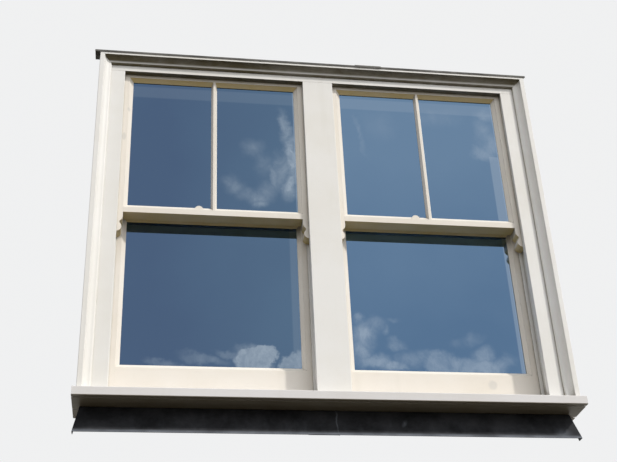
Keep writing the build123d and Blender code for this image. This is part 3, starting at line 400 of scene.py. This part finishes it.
RIGHT_PUFFS = (
    (0.120, 0.365, 0.034, 0.034, 0.0, 0.0, 0.60), (0.140, 0.310, 0.060, 0.066, 0.0, 0.1, 0.82),
    (0.125, 0.250, 0.044, 0.075, 0.0, 0.0, 0.72), (0.175, 0.345, 0.060, 0.040, -20.0, 0.0, 0.42),
    (0.215, 0.322, 0.030, 0.030, 0.0, 0.0, 0.48), (0.240, 0.372, 0.040, 0.018, 0.0, 0.0, 0.28),
    (0.255, 0.275, 0.050, 0.032, 0.0, 0.0, 0.52), (0.165, 0.205, 0.095, 0.046, 0.0, 0.2, 0.80),
    (0.235, 0.190, 0.075, 0.032, -8.0, 0.2, 0.76), (0.300, 0.215, 0.085, 0.050, 0.0, 0.1, 0.46),
    (0.355, 0.230, 0.070, 0.040, 10.0, 0.2, 0.52), (0.415, 0.210, 0.090, 0.056, 6.0, 0.5, 0.66),
    (0.480, 0.188, 0.100, 0.046, -14.0, 0.5, 0.66), (0.560, 0.225, 0.055, 0.056, 20.0, 0.1, 0.66),
    (0.560, 0.185, 0.110, 0.040, -10.0, 0.3, 0.76), (0.625, 0.205, 0.070, 0.046, -20.0, 0.1, 0.56),
    (0.530, 0.300, 0.065, 0.034, -10.0, 0.0, 0.34), (0.480, 0.285, 0.045, 0.025, 0.0, 0.0, 0.22),
    (0.158, 1.175, 0.016, 0.080, -6.0, 0.0, 0.26), (0.175, 1.090, 0.018, 0.090, -4.0, 0.0, 0.24),
    (0.690, 1.265, 0.070, 0.055, 0.0, 0.0, 0.62), (0.670, 1.180, 0.065, 0.100, -10.0, 0.0, 0.46),
    (0.690, 1.130, 0.048, 0.090, 0.0, 0.1, 0.60), (0.665, 1.085, 0.060, 0.040, 10.0, 0.1, 0.60),
    (0.480, 1.250, 0.140, 0.060, 0.0, 0.0, 0.22), (0.250, 1.200, 0.100, 0.100, 0.0, 0.0, 0.14),
)
# Each band, a painted reflection of the frame as a pale strip along the edge of a pane: its x and z
# range, softness and amount. The named ranges are heights.
UPPER, LOWER, BOTH = (0.77, 1.33), (0.165, 0.76), (0.17, 1.33)
UPPER_FOOT = (0.77, 1.07)
TOP_FRAME_REFLECTION = (1.272, 1.318)
LEFT_FRAME_REFLECTIONS = (
    ((-0.72, -0.09), TOP_FRAME_REFLECTION, 0.005, 0.12),
    ((-0.118, -0.088), LOWER, 0.004, 0.14),
    ((-0.097, -0.090), UPPER, 0.001, 0.45),
)
RIGHT_FRAME_REFLECTIONS = (
    ((0.09, 0.72), TOP_FRAME_REFLECTION, 0.005, 0.20),
    ((0.678, 0.720), UPPER_FOOT, 0.003, 0.42),
    ((0.700, 0.722), LOWER, 0.003, 0.42),
    ((0.711, 0.718), BOTH, 0.001, 0.45),
)
GLASS = {
    "left": glass("sky_glass_left", (0.079, 0.131, 0.228), (0.100, 0.172, 0.275), ("X", -0.62, -0.10),
                  (0.36, 0.44, 0.53), LEFT_PUFFS, LEFT_FRAME_REFLECTIONS),
    "right": glass("sky_glass_right", (0.108, 0.196, 0.330), (0.158, 0.258, 0.395), ("Z", 0.30, 1.10),
                   (0.37, 0.46, 0.57), RIGHT_PUFFS, RIGHT_FRAME_REFLECTIONS),
}


# CAD nodes: materials and softened edges

PAINT_EDGE = 0.9 * MM
OWN_EDGE = {"sill": 1.2 * MM, "pulley_stiles": 0.4 * MM}
METAL_EDGE = 0.5 * MM
WEIGHT_EDGE = 1.5 * MM
BARE_EDGE = 0.6 * MM
GLASS_SKIN = 4.1 * MM  # just more than the thickness of a pane: the spacer bars lie deeper


def wear(obj, *materials):
    """Give a node its materials, the first everywhere until faces are told otherwise."""
    obj.data.materials.clear()
    for material in materials:
        obj.data.materials.append(material)
    for face in obj.data.polygons:
        face.material_index = 0


def soften(obj, width):
    """Round the node's hard edges a little, as paint and use do."""
    weld = obj.modifiers.new("weld", "WELD")
    weld.merge_threshold = 0.01 * MM
    part = obj.modifiers.new("part_boards", "EDGE_SPLIT")  # where boards touch, the weld has joined them
    part.split_angle = math.radians(179.0)
    bevel = obj.modifiers.new("edges", "BEVEL")
    bevel.width = width
    bevel.segments = 2
    bevel.limit_method = "ANGLE"
    bevel.angle_limit = math.radians(30.0)
    even = obj.modifiers.new("flat_faces", "WEIGHTED_NORMAL")
    even.mode = "FACE_AREA_WITH_ANGLE"
    for face in obj.data.polygons:
        face.use_smooth = True


def boards_of(mesh):
    """The faces of each board. Faces that share a corner's place are of one board."""
    first_there = {}
    same = [first_there.setdefault(tuple(round(c, 6) for c in v.co), v.index) for v in mesh.vertices]
    parent = list(range(len(same)))

    def find(a):
        while parent[a] != a:
            parent[a] = parent[parent[a]]
            a = parent[a]
        return a

    for face in mesh.polygons:
        for index in face.vertices:
            parent[find(same[index])] = find(same[face.vertices[0]])
    boards = {}
    for face in mesh.polygons:
        boards.setdefault(find(same[face.vertices[0]]), []).append(face)
    return boards.values()


def by_direction(obj, materials):
    """Paint a node of several boards: each board gets the brush strokes that run along it."""
    wear(obj, *materials.values())
    order = list(materials)
    for faces in boards_of(obj.data):
        points = [obj.data.vertices[i].co for face in faces for i in face.vertices]
        size = [max(p[k] for p in points) - min(p[k] for p in points) for k in range(3)]
        axis = "xyz"[size.index(max(size))]
        for face in faces:
            face.material_index = order.index(axis)


def dress_panes(name, obj):
    """Painted sky reflection on both panes of a sealed unit, and metal on the spacer bars between them."""
    wear(obj, GLASS["left" if "_left" in name else "right"], SPACER)
    y0, y1 = (corner[1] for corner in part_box(name))
    for face in obj.data.polygons:
        if abs(face.normal[1]) < 0.5 and y0 + GLASS_SKIN < face.center[1] < y1 - GLASS_SKIN:
            face.material_index = 1


def dress(name, obj):
    """Give a node the material and the edges of what it is made of."""
    if name.endswith("_glass"):
        dress_panes(name, obj)
    elif name in LEAD:
        wear(obj, LEAD[name])
    elif name.startswith("sash_weights"):
        wear(obj, CAST)
        soften(obj, WEIGHT_EDGE)
    elif name.startswith(("fastener", "pulley_wheel", "pulley_cases")) or name.endswith("lifts"):
        wear(obj, BRASS)
        soften(obj, METAL_EDGE)
    elif name == "weight_box_boards":
        wear(obj, PINE)
        soften(obj, BARE_EDGE)
    else:
        kind = "sash" if name.startswith(("upper_", "lower_")) else "frame"
        by_direction(obj, PAINT["sill" if name == "sill" else kind])
        if not name.endswith("glazing_beads"):
            soften(obj, OWN_EDGE.get(name, PAINT_EDGE))


for name, obj in NODES.items():
    if not name.startswith("sash_cords"):
        dress(name, obj)


# What scene.py adds

def add_object(name, data, body=None):
    obj = bpy.data.objects.new(name, data)
    bpy.context.scene.collection.objects.link(obj)
    if body:
        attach(obj, body)
    return obj


def join_meshes(name, meshes, material):
    """One mesh out of several, which are removed."""
    whole = bmesh.new()
    for mesh in meshes:
        whole.from_mesh(mesh)
        bpy.data.meshes.remove(mesh)
    out = bpy.data.meshes.new(name)
    whole.to_mesh(out)
    whole.free()
    out.materials.append(material)
    return out


def middle_of(name):
    low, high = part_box(name)
    return [(a + b) / 2 for a, b in zip(low, high)]


# Cords: braided runs that stretch between the frame and what they carry

CORD_R = 2.91 * MM  # the braid's strands stand just inside the plain cord's surface
PITCH_R = 20.0 * MM  # wheel middle to cord middle
CORD_TAIL = 25.0 * MM  # how far a cord reaches into its weight
CORD_ROOM = 5.0 * MM  # more than a cord's radius, and less than the way to the next run
SASH_STEP, WEIGHT_STEP = 2.0 * MM, 6.0 * MM
ARC_STEPS = 24
SIDES = 20
STRANDS = 8
TURNS_PER_M = 90.0
BRAID_DEPTH = 0.07  # of the radius


def braid(points):
    """Braided cord along a path: a tube whose surface carries crossing strands."""
    mesh = bpy.data.meshes.new("cord")
    verts, faces = [], []
    travelled = 0.0
    up = Vector((0, 1, 0))
    last = len(points) - 1
    for i, p in enumerate(points):
        ahead = points[min(i + 1, last)] - points[max(i - 1, 0)]
        ahead.normalize()
        if i:
            travelled += (p - points[i - 1]).length
        side = ahead.cross(up).normalized()
        twist = travelled * TURNS_PER_M * math.tau
        for k in range(SIDES):
            a = math.tau * k / SIDES
            strand = max(math.sin(STRANDS / 2 * a + twist), math.sin(STRANDS / 2 * a - twist))
            r = CORD_R * (1.0 - BRAID_DEPTH + BRAID_DEPTH * strand)
            verts.append(p + side * math.cos(a) * r + up * math.sin(a) * r)
    for start in range(0, last * SIDES, SIDES):
        for k in range(SIDES):
            a, b = start + k, start + (k + 1) % SIDES
            faces.append((a, b, b + SIDES, a + SIDES))
    first_ring = list(range(SIDES))
    last_ring = [last * SIDES + k for k in first_ring]
    faces += [first_ring[::-1], last_ring]
    mesh.from_pydata(verts, [], faces)
    for face in mesh.polygons:
        face.use_smooth = True
    return mesh


def straight(a, b, step):
    count = max(2, int((b - a).length / step) + 1)
    return [a.lerp(b, i / (count - 1)) for i in range(count)]


def hang_cords(kind, light):
    """The two cords of a sash, each in three runs: on the sash, over the wheel and to the weight."""
    node = f"sash_cords_{kind}_{light}"
    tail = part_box(f"sash_weights_{kind}_{light}")[1][2] - CORD_TAIL
    sash_runs, wheel_runs, weight_runs = [], [], []
    for side, into in (("l", -1.0), ("r", 1.0)):
        x, y, z = middle_of(f"pulley_wheel_{kind}_{light}_{side}")
        near, far = x - into * PITCH_R, x + into * PITCH_R
        sash_end = min(v.co[2] for v in NODES[node].data.vertices if abs(v.co[0] - near) < CORD_ROOM)
        arc = [Vector((x - into * PITCH_R * math.cos(t), y, z + PITCH_R * math.sin(t)))
               for t in (math.pi * i / ARC_STEPS for i in range(ARC_STEPS + 1))]
        sash_runs.append(braid(straight(Vector((near, y, sash_end)), Vector((near, y, z)), SASH_STEP)))
        wheel_runs.append(braid(arc))
        weight_runs.append(braid(straight(Vector((far, y, z)), Vector((far, y, tail)), WEIGHT_STEP)))
    sash = add_object(f"cord_sash_run_{kind}_{light}", join_meshes("sash_run", sash_runs, COTTON))
    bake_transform(sash)
    wheel = add_object(f"cord_wheel_run_{kind}_{light}", join_meshes("wheel_run", wheel_runs, COTTON),
                       "frame")
    weight = add_object(f"cord_weight_run_{kind}_{light}", join_meshes("weight_run", weight_runs, COTTON))
    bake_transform(weight)
    for piece in (sash, wheel, weight):
        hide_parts(node)


for light in LIGHTS:
    for kind in ("upper", "lower"):
        hang_cords(kind, light)


# Screws: slotted heads on the lifts and fasteners

HEAD_H = 0.9 * MM
SLOT_SHARE = 0.26  # of the head's radius
LIFT_HALF = 17.0 * MM  # half the width of one lift
LIFT_PLATE = 3.0 * MM
LIFT_SCREW_R = 3.2 * MM
LIFT_SCREW_OUT = 9.5 * MM
LIFT_SCREW_DOWN = 8.5 * MM
BASE_PLATE = 3.0 * MM
BASE_SCREW_R = 2.6 * MM
BASE_SCREW_IN = 9.0 * MM
SLOT_FLOOR_R, SLOT_FLOOR_H = 0.96, 0.3  # of the head's


def half_head(head, side, radius, steps=14):
    """Half of a raised head, cut straight along the slot, with a rounded rim."""
    rings = []
    for inset, rise in ((0.0, 0.0), (0.0, 0.55), (0.10, 0.88), (0.30, 1.0)):
        reach = radius * (1.0 - inset)
        start = math.asin(radius * SLOT_SHARE / 2 / reach)
        turns = [start + (math.pi - 2 * start) * i / steps for i in range(steps + 1)]
        rings.append([head.verts.new((reach * math.cos(t), side * reach * math.sin(t), rise * HEAD_H))
                      for t in turns])
    for low_ring, high_ring in zip(rings, rings[1:]):
        for i in range(steps + 1):
            j = (i + 1) % (steps + 1)
            head.faces.new((low_ring[i], low_ring[j], high_ring[j], high_ring[i]))
    head.faces.new(rings[-1])
    head.faces.new(rings[0][::-1])


def screw(place, faces_to, radius, corners=28):
    """One slotted head that stands on its place and faces one way, with its slot at any angle."""
    head = bmesh.new()
    for side in (-1.0, 1.0):
        half_head(head, side, radius)
    reach, rise = SLOT_FLOOR_R * radius, SLOT_FLOOR_H * HEAD_H
    slot_floor = [head.verts.new((reach * math.cos(a), reach * math.sin(a), rise))
                  for a in (math.tau * i / corners for i in range(corners))]
    head.faces.new(slot_floor)
    turn = Matrix.Rotation(math.radians(random.uniform(0, 180)), 4, "Z")
    stand = Vector(faces_to).to_track_quat("Z", "Y").to_matrix().to_4x4()
    bmesh.ops.transform(head, matrix=Matrix.Translation(place) @ stand @ turn, verts=head.verts)
    bmesh.ops.recalc_face_normals(head, faces=head.faces)
    mesh = bpy.data.meshes.new("head")
    head.to_mesh(mesh)
    head.free()
    return mesh


def lift_screws(light):
    """Two screws through the plate of each of a light's lifts."""
    low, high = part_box(f"lower_{light}_lifts")
    y, z = low[1] + LIFT_PLATE, high[2] - LIFT_SCREW_DOWN
    return [screw((lift_x + out, y, z), (0, 1, 0), LIFT_SCREW_R)
            for lift_x in (low[0] + LIFT_HALF, high[0] - LIFT_HALF)
            for out in (-LIFT_SCREW_OUT, LIFT_SCREW_OUT)]


def fastener_screws(light):
    """Two screws through the base of a light's fastener."""
    low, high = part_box(f"fastener_{light}_base")
    y, z = (low[1] + high[1]) / 2, low[2] + BASE_PLATE
    return [screw((x, y, z), (0, 0, 1), BASE_SCREW_R)
            for x in (low[0] + BASE_SCREW_IN, high[0] - BASE_SCREW_IN)]


for light in LIGHTS:
    for kind, screws in (("lift_screws", lift_screws), ("fastener_screws", fastener_screws)):
        add_object(f"{kind}_{light}", join_meshes(kind, screws(light), BRASS), f"lower_sash_{light}")


# Stage and light: what the camera sees is pale, while the ground that fills the shade is dark and warm

FLOOR_HALF, FLOOR_Z = 30.0, -1.75
FLOOR_SEEN, FLOOR_FILL = (0.70, 0.70, 0.69), (0.045, 0.037, 0.022)
BACKDROP = (0.87, 0.875, 0.88)
HORIZON, ZENITH = (0.27, 0.245, 0.195), (0.20, 0.205, 0.215)
SOFT_LIGHTS = (  # the way to each broad soft light, how narrow it is, and its colour
    ((0.40, -0.72, 0.56), 4.0, (1.58, 1.63, 1.69)),
    ((-0.75, -0.60, 0.25), 6.0, (0.68, 0.70, 0.74)),
    ((-0.30, 0.75, 0.60), 4.0, (1.26, 1.28, 1.32)),
)
SUN_SIDE, SUN_HEIGHT = math.radians(50.0), math.radians(40.0)
SUN_WIDE = math.radians(3.0)
SUN_COLOUR = (1.0, 0.96, 0.89)

floor_mesh = bpy.data.meshes.new("floor")
corners = [(x * FLOOR_HALF, y * FLOOR_HALF, FLOOR_Z) for x, y in ((-1, -1), (1, -1), (1, 1), (-1, 1))]
floor_mesh.from_pydata(corners, [], [(0, 1, 2, 3)])
pale_floor = Shader("pale_floor", FLOOR_FILL)
pale_floor.coat(pale_floor.is_seen(), FLOOR_SEEN)
floor_mesh.materials.append(pale_floor.build(Roughness=0.9))
floor = add_object("floor", floor_mesh)

world = bpy.data.worlds.new("studio")
bpy.context.scene.world = world
world.use_nodes = True
world.node_tree.nodes.clear()
sky = Tree(world.node_tree, "Generated")
dome = sky.mix(sky.remap(sky.split()["Z"], (0.0, 1.0)), rgb(*HORIZON), rgb(*ZENITH))
for toward, narrow, shade in SOFT_LIGHTS:
    facing = sky.vector("DOT_PRODUCT", sky.coords, Vector(toward).normalized(), output="Value")
    glow = sky.math("POWER", sky.math("MAXIMUM", facing, 0.0), narrow)
    dome = sky.vector("ADD", dome, sky.times(shade, glow))
fill = sky.new("Background", {"Color": dome}).outputs[0]
seen = sky.new("Background", {"Color": rgb(*BACKDROP)}).outputs[0]
both = sky.new("MixShader", {0: sky.is_seen(), 1: fill, 2: seen}).outputs[0]
sky.new("OutputWorld", {"Surface": both})

sun_way = Vector((math.sin(SUN_SIDE) * math.cos(SUN_HEIGHT),
                  -math.cos(SUN_SIDE) * math.cos(SUN_HEIGHT),
                  math.sin(SUN_HEIGHT)))
sun = bpy.data.lights.new("key", "SUN")
sun.energy = 2.32
sun.angle = SUN_WIDE
sun.color = SUN_COLOUR
sun_obj = add_object("key", sun)
sun_obj.rotation_mode = "QUATERNION"
sun_obj.rotation_quaternion = sun_way.to_track_quat("Z", "Y")


# Camera: below the window and left of its middle, looking up and to the right

PHOTO_W, FOCAL = 617.0, 1103.1  # in pixels of the photo
CAMERA_AT = (-0.64131, -3.48069, -1.38992)
CAMERA_TURN = (121.1360, 2.3417, -8.3149)  # degrees about x, y and z

camera = bpy.data.cameras.new("camera")
camera.sensor_width = 36.0
camera.lens = FOCAL / PHOTO_W * camera.sensor_width
camera.clip_start, camera.clip_end = 0.05, 100.0
camera_obj = add_object("camera", camera)
camera_obj.location = CAMERA_AT
camera_obj.rotation_euler = [math.radians(angle) for angle in CAMERA_TURN]
bpy.context.scene.camera = camera_obj

bpy.context.scene.view_settings.view_transform = "Standard"

bpy.context.view_layer.update()
